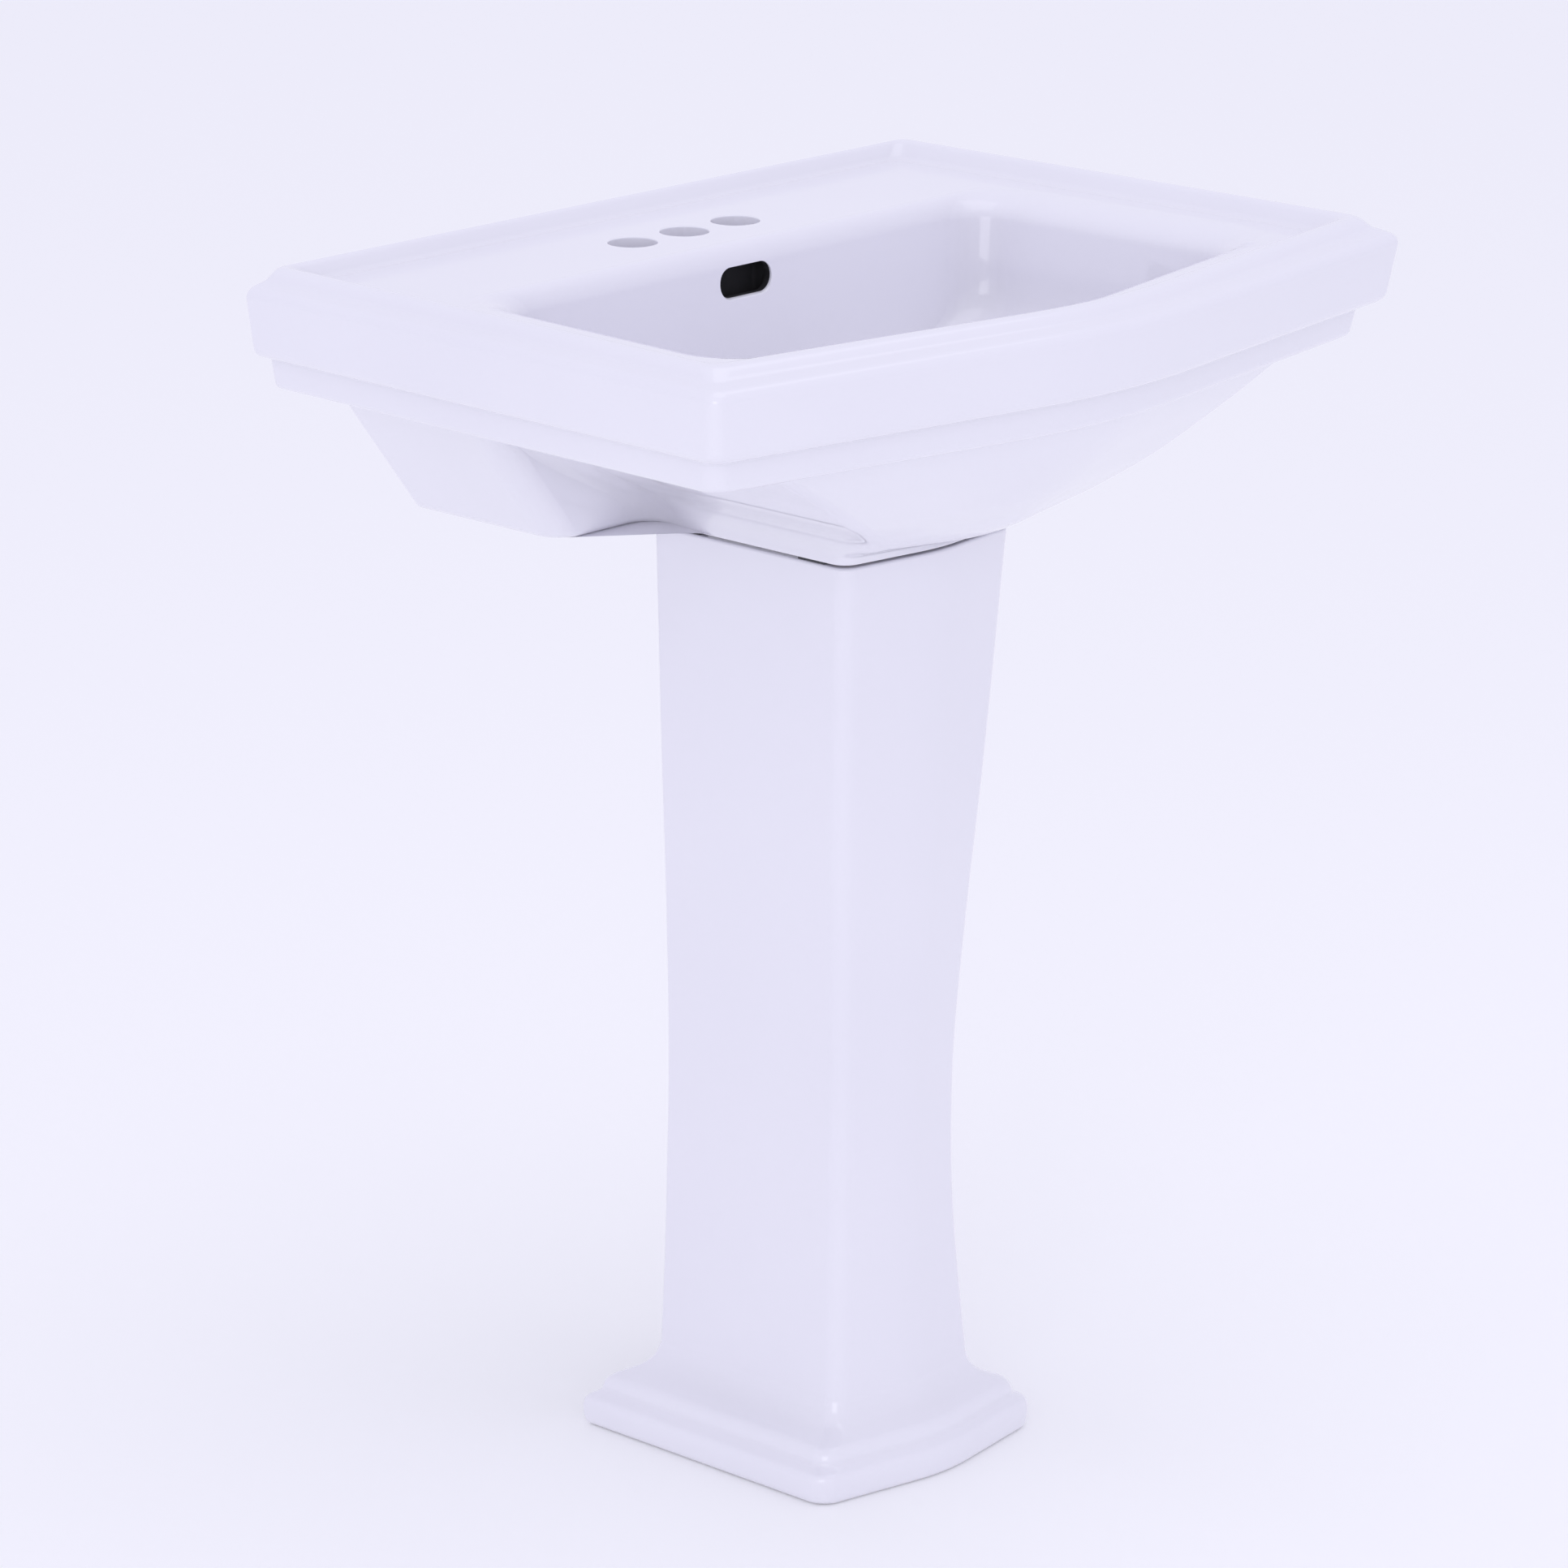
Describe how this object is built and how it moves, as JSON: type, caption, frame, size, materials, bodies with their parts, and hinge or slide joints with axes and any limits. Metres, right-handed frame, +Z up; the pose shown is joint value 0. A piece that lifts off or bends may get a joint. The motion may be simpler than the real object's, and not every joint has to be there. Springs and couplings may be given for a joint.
{
  "type": "pedestal sink",
  "caption": "China wash basin on a pedestal: straight-sided bow-front rim with a raised edge, tap holes, overflow, push-type drain and a trap to the wall.",
  "frame": {"origin": "on the floor, midway between the two floor screw holes in the pedestal's foot", "axes": "+Z up, +Y towards the wall the basin hangs on, the user stands on the -Y side, +X to the user's right when facing the wall"},
  "size_m": [0.6858, 0.4979, 0.8635],
  "materials": {
    "vitreous_china": "gloss",
    "chromed_brass": "polished",
    "bare_brass": "satin",
    "black_rubber": "matt",
    "grey_rubber_foam": "matt",
    "white_plastic": "matt"
  },
  "bodies": {
    "sink": {"basin": "vitreous_china", "pedestal": "vitreous_china", "rest_pads": "grey_rubber_foam", "flange_gasket": "grey_rubber_foam", "drain_flange": "chromed_brass", "drain_body": "bare_brass", "cone_washer": "black_rubber", "friction_washer": "white_plastic", "drain_locknut": "bare_brass", "stopper_cartridge": "white_plastic", "tailpiece": "chromed_brass", "trap_inlet_nut": "chromed_brass", "trap_inlet_washer": "black_rubber", "trap_j_bend": "chromed_brass", "trap_outlet_nut": "chromed_brass", "trap_outlet_washer": "black_rubber", "trap_arm": "chromed_brass"},
    "stopper": {"stopper_cap": "chromed_brass", "stopper_seal": "black_rubber", "stopper_plunger": "bare_brass"}
  },
  "joints": [
    {"name": "stopper_lift", "type": "slide", "parent": "sink", "child": "stopper", "axis": [0, 0, 1], "range_m": [0, 0.009]}
  ]
}
